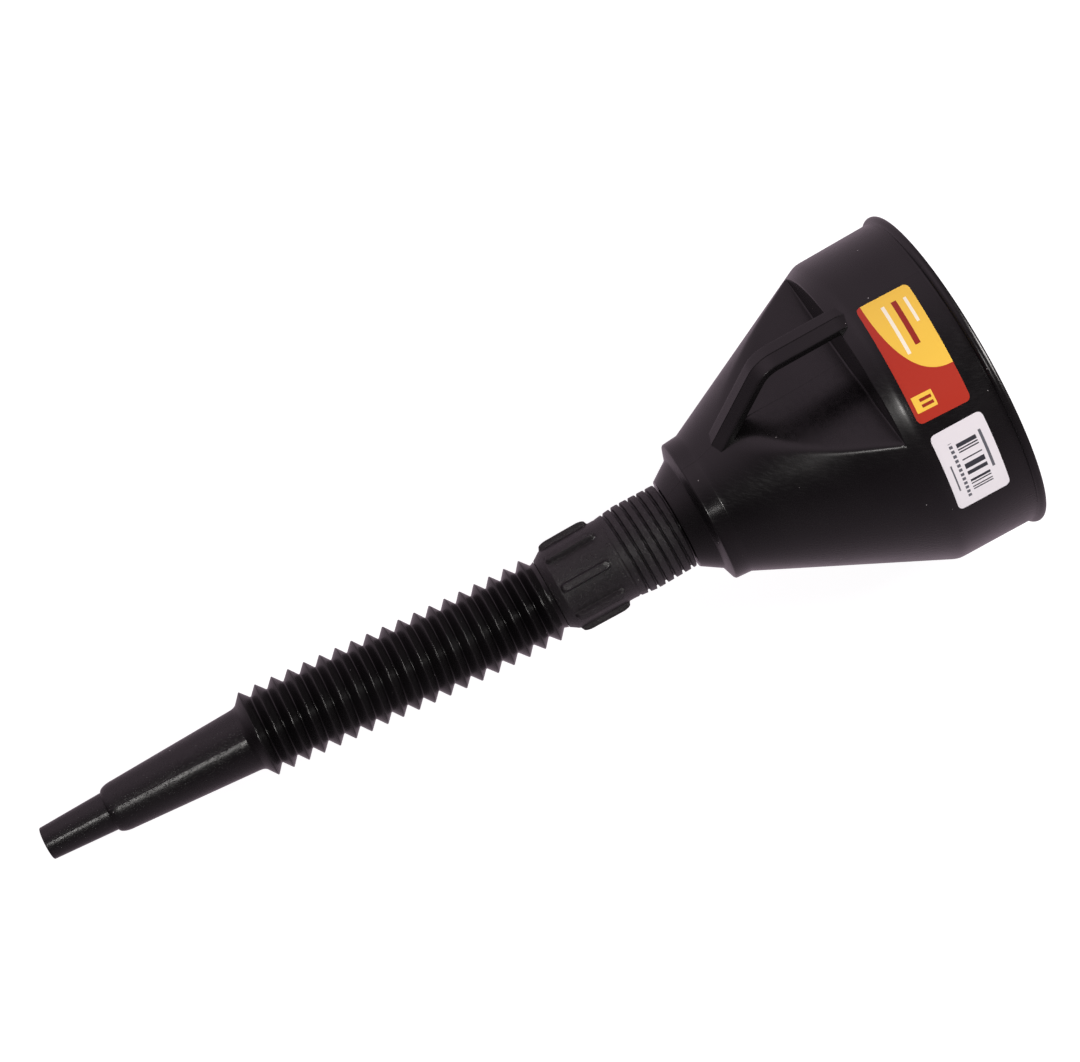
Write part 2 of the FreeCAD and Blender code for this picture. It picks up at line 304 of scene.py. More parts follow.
def snout_thread(angles, stations):
    """Height of the screw thread that winds round the snout."""
    height = 0.85
    return height * screw(angles, stations, 152.0, (0.15, 1.0), (148.5, 150.5), (166.5, 168.5))


def make_bowl():
    """The bowl's wall, inside and out, with bead, recess, seat ring, neck and snout."""
    seat_inside, socket_end, socket_radius = 133.0, 144.3, 21.6
    bore = BAND_TOP_RADIUS - WALL
    sweep = np.radians(np.linspace(-52, 78, 15))
    bead = np.stack([BEAD_TUBE * np.sin(sweep), BEAD_CENTRE_RADIUS + BEAD_TUBE * np.cos(sweep)], -1)
    outside = rounded([
        (2.45, BAND_TOP_RADIUS + 0.12, 0), (3.3, BAND_TOP_RADIUS, 0.8), (BAND_END, BAND_END_RADIUS, 10.0),
        (CONE_END, CONE_END_RADIUS, 1.6), (SEAT_END, SEAT_RADIUS, 1.3),
        (SHOULDER_END, SHOULDER_RADIUS, 1.6), (NECK_END, NECK_RADIUS, 0.6),
        (NECK_END, SNOUT_RADIUS, 0.3), (SNOUT_END, SNOUT_RADIUS, 0.5), (SNOUT_END, SNOUT_BORE, 0)])
    outside = np.vstack([[(-BEAD_FLAT, bore + 0.6)], bead, outside])
    inside = rounded([
        (SNOUT_END, SNOUT_BORE, 0), (socket_end, SNOUT_BORE, 0.6), (socket_end, socket_radius, 0.8),
        (seat_inside, 28.0, 0.5), (seat_inside, SEAT_RADIUS - WALL, 0.5),
        (CONE_END, CONE_END_RADIUS - WALL, 2.5),
        (BAND_END, BAND_END_RADIUS - WALL, 12.0), (-BEAD_FLAT, bore, 0.6), (-BEAD_FLAT, bore + 0.6, 0)])
    angles = angles_with_seams(lambda a: 0.95 if abs(a) < 66 else 2.0, BOWL_SEAMS, BOWL_SEAM_WIDTH)
    outside = with_ledge(refined(outside, 2.4), RECESS_START)
    on_snout = (outside[:, 0] > NECK_END + 0.5) & (outside[:, 1] > SNOUT_RADIUS - 0.05)
    first, last = np.flatnonzero(on_snout)[[0, -1]]
    outside = np.vstack([outside[:first], refined(outside[first:last + 1], 0.4), outside[last + 1:]])
    inside = with_ledge(refined(inside, 3.0), RECESS_START - WALL)
    outer_points = recessed(outside, angles, RECESS_DISTANCE, RECESS_START)
    stations, radii = outside[:, 0], outside[:, 1]
    ridge = seam_ridge(angles, BOWL_SEAMS, BOWL_SEAM_WIDTH, BOWL_SEAM_HEIGHT)
    # The parting line is a ridge on the walls and a notch in the bead, so that the bead keeps its size.
    share = np.where(stations < BEAD_END, -1.6, 1.0)
    share *= (stations < NECK_END - 0.3) & (radii > SNOUT_RADIUS + 0.4)
    share[0] = 0
    thread = snout_thread(angles, stations) * (radii > SNOUT_BORE + 1)[:, None]
    raised = ridge[None, :] * share[:, None] + thread
    outer_points[..., :2] *= (1 + raised / radii[:, None])[..., None]
    inner_points = recessed(inside, angles, RECESS_DISTANCE - WALL, RECESS_START - WALL)
    return from_points("bowl_shell", np.concatenate([outer_points[:-1], inner_points[:-1]]), FUNNEL)


def middle_of_wall(station):
    """Radius halfway through the cone's wall."""
    return BAND_END_RADIUS - WALL / 2 - CONE_SLOPE * (station - BAND_END)


def make_handle():
    """The bar handle: a low roof with its parting line on top, let in to the wall at both ends."""
    outer, half, thick, roof, groove = 77.7, 6.5, 5.2, 1.25, 0.16
    bend_start, bend_radius, lean = 78.0, 16.5, math.radians(50)
    right = rounded([(0.0, 0.3, 0), (-roof, half, 0.35), (-thick, half - 0.2, 0.7), (-thick, 0, 0)], 20)
    right = refined(right, 1.3)
    left = right[::-1][1:] * (1, -1)
    loop = np.concatenate([[(-groove, 0.0)], right, left])
    depth, across = -loop[:, 0], loop[:, 1]
    begin = BAND_END + (middle_of_wall(BAND_END) - np.hypot(outer - depth, across)) / CONE_SLOPE
    begin = np.clip(begin, BAND_END - 0.5, RECESS_START - WALL / 2)
    rows = []
    for part in np.linspace(0, 1, 22):
        station = begin + (bend_start - begin) * part
        level = outer - 1.0 * (1 - smooth_step(station, 40, 45.5)) - depth
        rows.append(np.stack([level, across, station], -1))
    for turn in np.linspace(0, lean, 13)[1:]:
        reach = bend_radius - depth
        rows.append(np.stack([outer - bend_radius + reach * math.cos(turn), across,
                              bend_start + reach * math.sin(turn)], -1))
    start, down = rows[-1], np.array([-math.sin(lean), 0, math.cos(lean)])
    # How far each line of the leg runs before it is halfway into the wall.
    low, high = np.zeros(len(loop)), np.full(len(loop), 60.0)
    for _ in range(40):
        middle = (low + high) / 2
        there = start + middle[:, None] * down
        outside_wall = np.hypot(there[:, 0], there[:, 1]) > middle_of_wall(there[:, 2])
        low, high = np.where(outside_wall, middle, low), np.where(outside_wall, high, middle)
    rows += [start + (low * part)[:, None] * down for part in np.linspace(0, 1, 14)[1:]]
    rows = np.array(rows)
    rows = np.concatenate([0 * rows[:1] + rows[0].mean(0), rows, 0 * rows[:1] + rows[-1].mean(0)])
    piece = from_points("bowl_handle", rows, FUNNEL, wrap_rows=False)
    weld(piece)
    return piece


def weld(piece, distance=1e-6):
    """Join points that lie together, as at a cap's middle."""
    work = bmesh.new()
    work.from_mesh(piece.data)
    bmesh.ops.remove_doubles(work, verts=work.verts, dist=distance)
    bmesh.ops.recalc_face_normals(work, faces=work.faces)
    work.to_mesh(piece.data)
    work.free()
    shade_smooth(piece.data)


# ---------------------------------------------------------------- labels

# The band rounds off towards the cone, and a sticker follows it.
EDGE_FALL = 0.025
EDGE_FALL_START = BAND_END - 4.5
LABEL_START = 12.0
LABEL_LENGTH = 25.6


def make_label(name, turn, width, length, start, tilt, corner=2.6, thickness=0.18, lift=0.03):
    """A thin sticker wrapped on the band. Its UV map runs 0 to 1 across the width and along the axis."""
    middle = start + length / 2
    across = np.linspace(-1, 1, 61)
    depth = np.concatenate([np.linspace(0, corner, 7)[:-1], np.linspace(corner, length - corner, 14),
                            length - np.linspace(corner, 0, 7)[1:]])
    rows, maps = [], []
    for d in depth:
        edge = corner - min(d, length - d)
        half = width / 2 - (corner - math.sqrt(max(corner ** 2 - edge ** 2, 0)) if edge > 0 else 0)
        x = across * half
        z = np.full_like(x, d - length / 2)
        rows.append(np.stack([x * math.cos(tilt) - z * math.sin(tilt),
                              x * math.sin(tilt) + z * math.cos(tilt)], -1))
        maps.append(np.stack([x / width + 0.5, np.full_like(x, d / length)], -1))
    flat, maps = np.array(rows), np.array(maps)
    station = middle + flat[..., 1]
    radius = BAND_TOP_RADIUS - (BAND_TOP_RADIUS - BAND_END_RADIUS) * station / BAND_END
    radius = radius - EDGE_FALL * np.clip(station - EDGE_FALL_START, 0, None) ** 2
    angle = math.radians(-turn) - flat[..., 0] / BAND_END_RADIUS
    layers = []
    for raised in (lift, thickness):
        r = radius + raised
        layers.append(np.stack([r * np.cos(angle), r * np.sin(angle), station], -1))
    top, under = layers[1], layers[0]
    count, wide = top.shape[:2]
    points = laid_down(np.concatenate([top.reshape(-1, 3), under.reshape(-1, 3)]), FUNNEL)
    faces = []
    below = count * wide
    for i in range(count - 1):
        for j in range(wide - 1):
            a, b, c, d = i * wide + j, i * wide + j + 1, (i + 1) * wide + j + 1, (i + 1) * wide + j
            faces += [(a, b, c, d), (below + d, below + c, below + b, below + a)]
    rim = [(0, j) for j in range(wide - 1)] + [(i, wide - 1) for i in range(count - 1)]
    rim += [(count - 1, j) for j in range(wide - 1, 0, -1)] + [(i, 0) for i in range(count - 1, 0, -1)]
    rim = [i * wide + j for i, j in rim]
    faces += [(a, b, below + b, below + a) for a, b in zip(rim, rim[1:] + rim[:1])]
    mesh = bpy.data.meshes.new(name)
    mesh.from_pydata(points.tolist(), [], faces)
    uv = mesh.uv_layers.new(name="label")
    places = np.concatenate([maps.reshape(-1, 2), maps.reshape(-1, 2)])
    index = np.zeros(len(mesh.loops), int)
    mesh.loops.foreach_get("vertex_index", index)
    uv.data.foreach_set("uv", places[index].astype(np.float32).ravel())
    return as_piece(name, mesh)


# ---------------------------------------------------------------- spout

RIB_SPACING = 45
GRIP_START = 181
SPOUT_SEAMS = (CAMERA_TURN + 3, CAMERA_TURN - 177)


def from_rib(angle, phase):
    """Degrees from an angle to the nearest rib's middle."""
    return (angle - phase + RIB_SPACING / 2) % RIB_SPACING - RIB_SPACING / 2


def rib_height(angles, stations, phase):
    """How far the eight grip ribs stand out, with rounded ends and steep sides, lower towards their ends."""
    start, end, half, height = 182.0, 207.4, 2.15, 2.85
    grip_radius, easing, easing_share = 20.5, 5.0, 0.8
    away = np.radians(from_rib(np.degrees(angles)[None, :], phase)) * grip_radius
    middle, reach = (start + end) / 2, (end - start) / 2 - half
    from_middle = np.abs(stations[:, None] - middle)
    along = np.clip(from_middle - reach, 0, None)
    distance = np.hypot(away, along) - half
    eased = np.clip((from_middle - reach - half + easing) / easing, 0, 1)
    return height * (1 - smooth_step(distance, -0.8, 0.2)) * np.sqrt(1 - easing_share * eased ** 2)


def thread_groove(angles, stations):
    """Depth of the single groove pressed into the mouth, fading out at the grip."""
    depth = 1.5
    return depth * screw(angles, stations, 150.9, (0.3, 0.8), (147.2, 149.4), (170.0, 180.0))


def make_collar(rib_phase):
    """The spout's threaded mouth and ribbed grip."""
    end = FIRST_VALLEY - 2.0
    end_radius = VALLEY_RADIUS + 0.8
    outside = rounded([
        (MOUTH_START, MOUTH_BORE, 0), (MOUTH_START, MOUTH_RADIUS - 0.3, 0.7),
        (168.0, MOUTH_RADIUS + 0.1, 4.0), (178.5, 20.3, 4.0), (207.8, 20.0, 1.3), (end, end_radius, 0)])
    outside = refined(outside, 0.44)
    on_mouth = outside[:, 0] <= GRIP_START
    outside = np.vstack([refined(outside[on_mouth], 0.22), outside[~on_mouth]])
    inside = refined(rounded([
        (end, end_radius, 0), (end - 0.2, end_radius - 1.2, 0.3), (207.0, 18.3, 1.0),
        (178.0, MOUTH_BORE, 2.0), (MOUTH_START, MOUTH_BORE, 0)]), 4.0)

    def spacing(angle):
        return 0.5 if 2.0 < abs(from_rib(angle, rib_phase)) < 7.6 else 1.0

    angles = angles_with_seams(spacing, SPOUT_SEAMS, 0.5)
    points = turned(outside, angles)
    stations = outside[:, 0]
    mouth_roughness, grip_roughness = 0.012, 0.028
    rough = np.random.default_rng(7).normal(0, 1, points.shape[:2])
    rough *= np.where(stations < GRIP_START, mouth_roughness, grip_roughness)[:, None]
    rough *= stations[:, None] > MOUTH_START + 1
    change = rib_height(angles, stations, rib_phase) - thread_groove(angles, stations)
    on_outside = outside[:, 1] > MOUTH_BORE + 0.3
    change = (change + rough) * on_outside[:, None]
    points[..., :2] *= (1 + change / outside[:, 1:])[..., None]
    rows = np.concatenate([points[:-1], turned(inside, angles)[1:-1]])
    return from_points("spout_collar_shell", rows, FUNNEL)


def bellows_places():
    """Valleys, headings and bodies of the bellows, from the joints that fold it."""
    folds = [joint for name, joint in JOINTS.items() if name.startswith("bend_")]
    folds.sort(key=lambda joint: -joint["pos_m"][0])
    valleys = [Vector(joint["pos_m"]) for joint in folds]
    bodies = [folds[0]["parent"]] + [joint["child"] for joint in folds]
    down = -Vector(JOINTS["strainer_lift"]["axis"]).normalized()
    headings = [down] + [(after - before).normalized() for before, after in zip(valleys, valleys[1:])]
    headings.append((Vector(MOUNTS["nozzle_outlet"]["pos_m"]) - valleys[-1]).normalized())
    return valleys, headings, bodies


def make_fold(index, valleys, headings):
    """One fold of the bellows, from crest to crest across a valley, as a closed thin wall."""
    first, last = index == 0, index == RING_COUNT
    half = CREST_PITCH / 2
    before = 2.0 if first else half
    after = 1.6 if last else half
    before_radius = VALLEY_RADIUS + 0.8 if first else CREST_RADIUS
    after_radius = 15.35 if last else CREST_RADIUS
    valley_radius = 16.0 if last else VALLEY_RADIUS
    tip, tip_fall = 0.22, 0.03
    corners = [(-before, before_radius, 0)]
    if not first:
        corners.append((-before + tip, before_radius - tip_fall, tip))
    corners.append((0.0, valley_radius, 2.5 if last else 0.5))
    if not last:
        corners.append((after - tip, after_radius - tip_fall, tip))
    corners.append((after, after_radius, 0))
    outline = refined(rounded(corners, 18), 1.6)
    wall = BELLOWS_WALL + 0.3
    inner = [(-before, before_radius - wall, 0), (0.0, valley_radius - wall, 0.6),
             (after, after_radius - wall, 0)]
    inner = refined(rounded(inner, 30), 2.5)[::-1]
    loop = np.concatenate([outline, inner])
    angles = np.linspace(-math.pi, math.pi, 97)[:-1]
    turn_before, turn_after = headings[index], headings[index + 1]
    rows = []
    for station, radius in loop:
        part = (station + before) / (before + after)
        heading = turn_before.lerp(turn_after, part * part * (3 - 2 * part)).normalized()
        travel = turn_before if station < 0 else turn_after
        place = frame_from(valleys[index] + travel * station * MM, heading)
        ring = np.stack([radius * np.cos(angles), radius * np.sin(angles), 0 * angles], -1)
        rows.append(laid_down(ring, place))
    return from_points(f"bellows_fold_{index + 1:02d}", rows, Matrix.Identity(4))


def make_nozzle(valleys, headings):
    """The stepped, tapered end, with the parting line along it. Its stations start at the last valley."""
    start, start_radius, end, bore = 1.6, 15.35, 102.9, 6.65
    shoulder_start, shoulder_length, shoulder_radius, step_radius = 64.4, 6.9, 11.95, 9.35
    seam_width, seam_height = 1.2, 0.24
    bend = np.radians(np.linspace(0, 90, 12))
    shoulder = np.stack([shoulder_start + shoulder_length * np.sin(bend),
                         step_radius + (shoulder_radius - step_radius) * np.cos(bend)], -1)
    tip = rounded([(71.3, 9.3, 0), (end, 7.85, 0.5), (end, bore, 0)])
    outside = np.vstack([[(start, start_radius), (3.2, 15.15)], shoulder, tip])
    inside = rounded([(end, bore, 0), (71.2, 8.1, 1.0), (64.3, 10.7, 3.0), (start, 14.0, 0)])
    outside, inside = refined(outside, 2.0), refined(inside, 8.0)
    angles = angles_with_seams(lambda angle: 3.0, SPOUT_SEAMS, seam_width)
    points = turned(outside, angles)
    ridge = seam_ridge(angles, SPOUT_SEAMS, seam_width, seam_height)
    below_end = outside[:, 0] < end - 0.9
    points[..., :2] *= (1 + ridge[None, :] * below_end[:, None] / outside[:, 1][:, None])[..., None]
    rows = np.concatenate([points[:-1], turned(inside, angles)])
    return from_points("nozzle_shell", rows, frame_from(valleys[-1], headings[-1]))


# ---------------------------------------------------------------- strainer

def make_strainer_ring():
    """The strainer's moulded ring, with the flange that carries the gauze."""
    outline = rounded([
        (129.0, 31.6, 0), (129.0, 33.1, 0.5), (132.7, 33.1, 0.5), (132.7, 29.4, 0.4), (131.5, 29.4, 0.3),
        (131.5, 31.2, 0.2), (129.0, 31.2, 0.3), (129.0, 31.6, 0)], 20)
    angles = np.radians(np.arange(-180, 180, 2.5))
    return from_points("strainer_ring_shell", turned(refined(outline, 1.2)[:-1], angles), FUNNEL)


def make_gauze():
    """Woven brass wire: each wire a round bar that passes over and under the ones it crosses."""
    pitch, wire, reach, level, shortest = 1.55, 0.17, 30.9, 131.22, 3
    steps_a_pitch = 4
    lines = np.arange(-19, 20) * pitch
    section = np.radians(np.arange(0, 360, 60))
    points, faces = [], []
    for way in (0, 1):
        for number, offset in enumerate(lines):
            half = math.sqrt(max(reach ** 2 - offset ** 2, 0))
            if half < shortest:
                continue
            count = int(2 * half / pitch * steps_a_pitch)
            along = np.linspace(-half, half, count)
            wave = wire * np.cos(math.pi * (along / pitch + number + way))
            ring = np.stack([np.cos(section), np.sin(section)], -1) * wire
            base = len(points)
            for distance, height in zip(along, wave):
                for side, up in ring:
                    flat = (offset + side, distance) if way else (distance, offset + side)
                    points.append((flat[0], flat[1], level + up + height))
            size = len(section)
            for i in range(count - 1):
                for j in range(size):
                    a, b = base + i * size + j, base + i * size + (j + 1) % size
                    faces.append((a, b, b + size, a + size))
            faces.append(tuple(base + j for j in range(size)))
            faces.append(tuple(base + (count - 1) * size + j for j in reversed(range(size))))
    mesh = bpy.data.meshes.new("strainer_wires")
    mesh.from_pydata(laid_down(np.array(points), FUNNEL).tolist(), [], faces)
    return as_piece("strainer_wires", mesh, 60)


# ---------------------------------------------------------------- materials

class Nodes:
    """Short names for the nodes that the materials are built from."""

    def __init__(self, name):
        self.material = bpy.data.materials.new(name)
        self.material.use_nodes = True
        self.tree = self.material.node_tree
        self.shader = self.tree.nodes["Principled BSDF"]

    def add(self, kind, **values):
        node = self.tree.nodes.new(kind)
        for key, value in values.items():
            setattr(node, key, value)
        return node

    def put(self, socket, value):
        if isinstance(value, bpy.types.NodeSocket):
            self.tree.links.new(value, socket)
        else:
            socket.default_value = value

    def sum(self, operation, first, second=0.0, third=0.0):
        node = self.add("ShaderNodeMath", operation=operation)
        for socket, value in zip(node.inputs, (first, second, third)):
            self.put(socket, value)
        return node.outputs[0]

    def mix(self, share, first, second):
        node = self.add("ShaderNodeMix", data_type="RGBA")
        self.put(node.inputs[0], share)
        self.put(node.inputs[6], first)
        self.put(node.inputs[7], second)
        return node.outputs[2]

    def place(self, stretch=(1, 1, 1)):
        """Object coordinates, stretched."""
        mapping = self.add("ShaderNodeMapping")
        mapping.inputs["Scale"].default_value = stretch
        self.put(mapping.inputs["Vector"], self.add("ShaderNodeTexCoord").outputs["Object"])
        return mapping.outputs[0]

    def noise(self, scale, detail=3.0, stretch=(1, 1, 1), rough=0.5):
        node = self.add("ShaderNodeTexNoise")
        self.put(node.inputs["Vector"], self.place(stretch))
        node.inputs["Scale"].default_value = scale
        node.inputs["Detail"].default_value = detail
        node.inputs["Roughness"].default_value = rough
        return node.outputs["Fac"]

    def cells(self, scale):
        node = self.add("ShaderNodeTexVoronoi")
        self.put(node.inputs["Vector"], self.place())
        node.inputs["Scale"].default_value = scale
        return node.outputs["Distance"]

    def ramp(self, value, low, high, to_low=0.0, to_high=1.0):
        node = self.add("ShaderNodeMapRange")
        for socket, number in zip(node.inputs, (value, low, high, to_low, to_high)):
            self.put(socket, number)
        return node.outputs[0]

    def bump(self, height, distance, strength=1.0, normal=None):
        node = self.add("ShaderNodeBump")
        self.put(node.inputs["Height"], height)
        node.inputs["Distance"].default_value = distance
        node.inputs["Strength"].default_value = strength
        if normal is not None:
            self.put(node.inputs["Normal"], normal)
        return node.outputs[0]

    def shade(self, **values):
        for key, value in values.items():
            self.put(self.shader.inputs[key.replace("_", " ")], value)
        return self.material


BLACKS = ((0.0032, 0.0028, 0.0031), (0.0052, 0.0046, 0.0050))
DUST = (0.35, 0.33, 0.33, 1)
DUST_SIZE = 0.042
FLECK_DEPTH = 0.00006


def black_plastic(name, rough, grain, grain_depth, sparkle=0.0, painted_sheen_lift=1.0):
    """Moulded black polyolefin: mottled sheen, fine grain, dust, light scuffs and, if asked, bright flecks and a
    base colour lightened all over as painted sheen.
    """
    n = Nodes(name)
    mottle = n.noise(28, 4)
    scuffs = n.noise(260, 6, (1, 1, 6), 0.65)
    grain_height = n.noise(grain, 4, rough=0.6)
    dust = n.sum("LESS_THAN", n.cells(170), DUST_SIZE)
    thin = n.sum("GREATER_THAN", n.noise(90, 2), 0.52)
    dust = n.sum("MULTIPLY", dust, thin)
    # Painted sheen: both blacks are scaled up here, so the base colour itself is lighter in place of glints and
    # sheen.
    dark, light = ([painted_sheen_lift * level for level in colour] + [1] for colour in BLACKS)
    base = n.mix(n.ramp(mottle, 0.35, 0.7), dark, light)
    colour = n.mix(dust, base, DUST)
    roughness = n.sum("ADD", n.ramp(mottle, 0.3, 0.75, rough - 0.06, rough + 0.06),
                      n.ramp(scuffs, 0.45, 0.75, 0.0, 0.10))
    normal = n.bump(grain_height, grain_depth)
    if sparkle:
        flecks = n.ramp(n.noise(2300, 2), 0.56, 0.74)
        normal = n.bump(flecks, FLECK_DEPTH * sparkle, normal=normal)
        roughness = n.sum("SUBTRACT", roughness, n.sum("MULTIPLY", flecks, 0.10 * sparkle))
    return n.shade(Base_Color=colour, Roughness=roughness, Normal=normal, IOR=1.49)


def finish_label(n, colour, paper=0.0):
    grain = n.noise(1800, 3)
    n.shade(Base_Color=colour, Roughness=n.ramp(grain, 0.3, 0.7, 0.30 + paper, 0.38 + paper),
            Normal=n.bump(n.noise(160, 3), 0.00002))
    return n.material


def label_axes(n):
    split = n.add("ShaderNodeSeparateXYZ")
    n.put(split.inputs[0], n.add("ShaderNodeTexCoord").outputs["UV"])
    return split.outputs[0], split.outputs[1]


def bar(n, across, along, middle, half):
    """One where a point lies in a rectangle, given in shares of the label."""
    x = n.sum("LESS_THAN", n.sum("ABSOLUTE", n.sum("SUBTRACT", across, middle[0])), half[0])
    y = n.sum("LESS_THAN", n.sum("ABSOLUTE", n.sum("SUBTRACT", along, middle[1])), half[1])
    return n.sum("MULTIPLY", x, y)


YELLOW = (0.88, 0.56, 0.07, 1)
RED = (0.42, 0.028, 0.013, 1)
DARK_RED = (0.30, 0.018, 0.010, 1)
PALE = (0.92, 0.86, 0.70, 1)


def front_label_print():
    """A yellow field with a round corner on red, with plain bars and a plain tag."""
    n = Nodes("front_label_print")
    across, along = label_axes(n)
    spread = n.sum("SQRT", n.sum("ADD", n.sum("POWER", n.sum("DIVIDE", across, 0.70), 2.4),
                                 n.sum("POWER", n.sum("DIVIDE", along, 0.90), 2.4)))
    red = n.sum("GREATER_THAN", spread, 1.0)
    colour = n.mix(red, YELLOW, RED)
    for middle, half, ink in (
            ((0.21, 0.17), (0.11, 0.028), PALE),
            ((0.28, 0.37), (0.19, 0.050), DARK_RED),
            ((0.30, 0.58), (0.21, 0.032), PALE),
            ((0.86, 0.74), (0.062, 0.19), YELLOW),
            ((0.84, 0.70), (0.012, 0.11), DARK_RED),
            ((0.885, 0.70), (0.012, 0.11), DARK_RED)):
        colour = n.mix(bar(n, across, along, middle, half), colour, ink)
    return finish_label(n, colour)


def stock_label_print():
    """White paper with a run of plain dark bars and three rules."""
    n = Nodes("stock_label_print")
    across, along = label_axes(n)
    ink = (0.03, 0.03, 0.04, 1)
    count = 62.0
    cell = n.sum("FLOOR", n.sum("MULTIPLY", across, count))
    noise = n.add("ShaderNodeTexWhiteNoise", noise_dimensions="1D")
    n.put(noise.inputs["W"], cell)
    dark = n.sum("GREATER_THAN", noise.outputs["Value"], 0.46)
    field = bar(n, across, along, (0.53, 0.45), (0.33, 0.19))
    colour = n.mix(n.sum("MULTIPLY", dark, field), (0.73, 0.70, 0.73, 1), ink)
    gap = n.sum("GREATER_THAN", n.sum("FRACT", n.sum("MULTIPLY", across, 17.0)), 0.38)
    for middle, half, dashed in (((0.42, 0.17), (0.24, 0.026), False), ((0.53, 0.735), (0.36, 0.032), True),
                                 ((0.58, 0.87), (0.17, 0.014), False)):
        share = bar(n, across, along, middle, half)
        colour = n.mix(n.sum("MULTIPLY", share, gap) if dashed else share, colour, (0.10, 0.10, 0.12, 1))
    return finish_label(n, colour, 0.12)


def brass():
    n = Nodes("brass_wire")
    tarnish = n.noise(140, 4)
    colour = n.mix(n.ramp(tarnish, 0.35, 0.7), (0.78, 0.55, 0.22, 1), (0.50, 0.33, 0.12, 1))
    n.shade(Base_Color=colour, Metallic=1.0, Roughness=n.ramp(tarnish, 0.3, 0.7, 0.24, 0.42))
    return n.material


def dress(piece, material, body, slot, *nodes):
    piece.data.materials.clear()
    piece.data.materials.append(material)
    if nodes:
        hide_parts(*nodes)
    if body:
        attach(piece, body)


# ---------------------------------------------------------------- stage

def make_floor():
    """A plain white table that glows evenly, so wide that no view looks past its edge."""
    size, level = 80, -0.0003
    bpy.ops.mesh.primitive_plane_add(size=size, location=(0, 0, level))
    floor = bpy.context.object
    floor.name = "table"
    n = Nodes("white_table")
    n.shade(Base_Color=(0.25, 0.25, 0.25, 1), Roughness=0.8,
            Emission_Color=(1, 0.99, 1, 1), Emission_Strength=0.95)
    floor.data.materials.append(n.material)
    floor.visible_glossy = False


# Every light looks at this point on the axis.
AIM = Vector((0, 0, 120))
# The studio's pale walls: turn, tilt, strength and how narrowly each one glows.
GLOWS = ((45, 0, 0.45, 2.0), (20, 22, 0.4, 6.0), (90, 45, 0.2, 4.0), (-137, 0, 0.3, 2.0), (143, 0, 0.42, 2.0))
GLOW_COLOUR = (1, 0.79, 0.93, 1)
DARK_SIDE = 0.05
# Square lamps: name, turn, tilt, size in metres and power in watts, all at one distance.
LAMPS = (("streak", -42, 27, 0.07, 2.0), ("glint", -44, 5, 0.05, 0.22), ("fill", -35, -52, 0.4, 11.0))
LAMP_COLOUR = (1, 0.97, 0.95)
LAMP_DISTANCE = 1.1


def around(turn, tilt, distance):
    """A place at a turn round the axis from the handle and a tilt towards the nozzle, in degrees."""
    turn, tilt = math.radians(turn), math.radians(tilt)
    way = Vector((math.cos(turn) * math.cos(tilt), math.sin(turn) * math.cos(tilt), math.sin(tilt)))
    return FUNNEL @ (AIM + way * distance / MM)


def math_node(tree, operation, *values):
    """A sum in a node tree, of sockets and plain numbers."""
    node = tree.nodes.new("ShaderNodeMath")
    node.operation = operation
    for socket, value in zip(node.inputs, values):
        if isinstance(value, float):
            socket.default_value = value
        else:
            tree.links.new(value, socket)
    return node.outputs[0]


def make_lights():
    """A studio that is dark behind the camera and pale beyond the funnel, with three square lamps."""
    world = bpy.context.scene.world or bpy.data.worlds.new("World")
    bpy.context.scene.world = world
    world.use_nodes = True
    tree = world.node_tree
    background = tree.nodes["Background"]
    background.inputs["Color"].default_value = GLOW_COLOUR
    way = tree.nodes.new("ShaderNodeTexCoord").outputs["Generated"]
    total = DARK_SIDE
    for turn, tilt, strength, narrowness in GLOWS:
        dot = tree.nodes.new("ShaderNodeVectorMath")
        dot.operation = "DOT_PRODUCT"
        tree.links.new(way, dot.inputs[0])
        dot.inputs[1].default_value = (around(turn, tilt, 1.0) - around(turn, tilt, 0.0)).normalized()
        facing = math_node(tree, "MAXIMUM", dot.outputs["Value"], 0.0)
        glow = math_node(tree, "POWER", facing, narrowness)
        total = math_node(tree, "MULTIPLY_ADD", glow, strength, total)
    tree.links.new(total, background.inputs["Strength"])
    for name, turn, tilt, size, power in LAMPS:
        light = bpy.data.lights.new(name, "AREA")
        light.color = LAMP_COLOUR
        light.size = size
        light.energy = power
        lamp = bpy.data.objects.new(name, light)
        lamp.location = around(turn, tilt, LAMP_DISTANCE)
        lamp.rotation_euler = (FUNNEL @ AIM - lamp.location).to_track_quat("-Z", "Y").to_euler()
        bpy.context.scene.collection.objects.link(lamp)


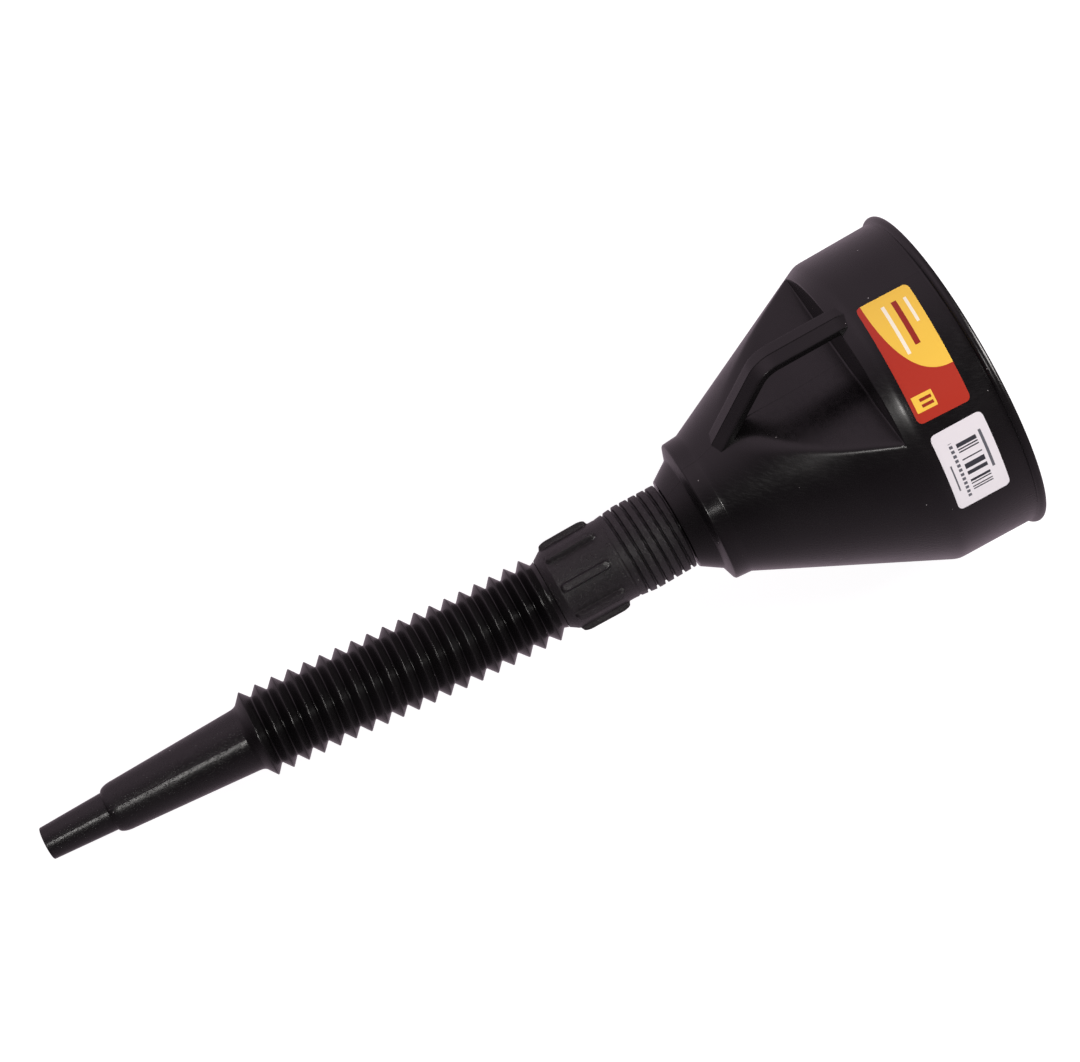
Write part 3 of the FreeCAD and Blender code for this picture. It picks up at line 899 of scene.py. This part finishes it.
def make_camera():
    """Long lens from the front and above, rolled so that the funnel's axis climbs across the picture."""
    sensor_width, lens_share = 36.0, 2.5064
    distance = 1.2491
    recede, turn, climb = math.radians(1.456), math.radians(36.68), math.radians(29.22)
    rim_right, rim_above = 0.19015, 0.07436
    axes = FUNNEL.to_3x3().normalized()
    out, side, mouth = axes.col[0], axes.col[1], -axes.col[2]
    facing = math.cos(turn) * out - math.sin(turn) * side
    across = math.sin(turn) * out + math.cos(turn) * side
    along = math.cos(recede) * mouth + math.sin(recede) * facing
    forward = math.sin(recede) * mouth - math.cos(recede) * facing
    right = math.cos(climb) * along - math.sin(climb) * across
    up = math.sin(climb) * along + math.cos(climb) * across
    data = bpy.data.cameras.new("camera")
    data.sensor_width = sensor_width
    data.lens = sensor_width * lens_share
    data.clip_start = 0.05
    camera = bpy.data.objects.new("camera", data)
    place = FUNNEL.translation - forward * distance - right * rim_right - up * rim_above
    matrix = Matrix((right, up, -forward)).transposed().to_4x4()
    matrix.translation = place
    camera.matrix_world = matrix
    bpy.context.scene.collection.objects.link(camera)
    bpy.context.scene.camera = camera


def build():
    make_camera()
    make_lights()
    make_floor()
    bowl_plastic = black_plastic("bowl_plastic", 0.25, 900, 0.000012)
    spout_plastic = black_plastic("spout_plastic", 0.26, 700, 0.00003)
    # The grip and thread have their base colour lifted over threefold as painted sheen.
    rough_plastic = black_plastic("grip_plastic", 0.38, 1500, 0.00014, sparkle=2.2, painted_sheen_lift=3.2)
    nozzle_plastic = black_plastic("nozzle_plastic", 0.28, 1100, 0.00006, sparkle=1.2)
    ring_plastic = black_plastic("strainer_plastic", 0.45, 900, 0.00002)
    dress(make_bowl(), bowl_plastic, "bowl", "bowl_plastic", "bowl")
    dress(make_handle(), bowl_plastic, "bowl", "bowl_plastic")
    front = make_label("front_label_film", 23.9, 60.5, LABEL_LENGTH, LABEL_START, math.radians(2.2))
    dress(front, front_label_print(), "bowl", "printed_film", "front_label")
    stock = make_label("stock_label_paper", 66.2, 41.0, LABEL_LENGTH, LABEL_START, math.radians(0.5))
    dress(stock, stock_label_print(), "bowl", "white_paper", "stock_label")
    dress(make_strainer_ring(), ring_plastic, "strainer", "strainer_plastic", "strainer_ring")
    dress(make_gauze(), brass(), "strainer", "brass_wire", "strainer_gauze")
    dress(make_collar(CAMERA_TURN), rough_plastic, "spout_collar", "spout_plastic", "spout_collar")
    valleys, headings, bodies = bellows_places()
    for index in range(RING_COUNT + 1):
        fold = make_fold(index, valleys, headings)
        nodes = [f"bellows_ring_{index + 1:02d}"] if index < RING_COUNT else []
        dress(fold, spout_plastic, None, "spout_plastic", *nodes)
        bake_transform(fold)
    dress(make_nozzle(valleys, headings), nozzle_plastic, "nozzle", "spout_plastic", "nozzle")
    bpy.context.scene.view_settings.view_transform = "Standard"


build()
bpy.context.view_layer.update()
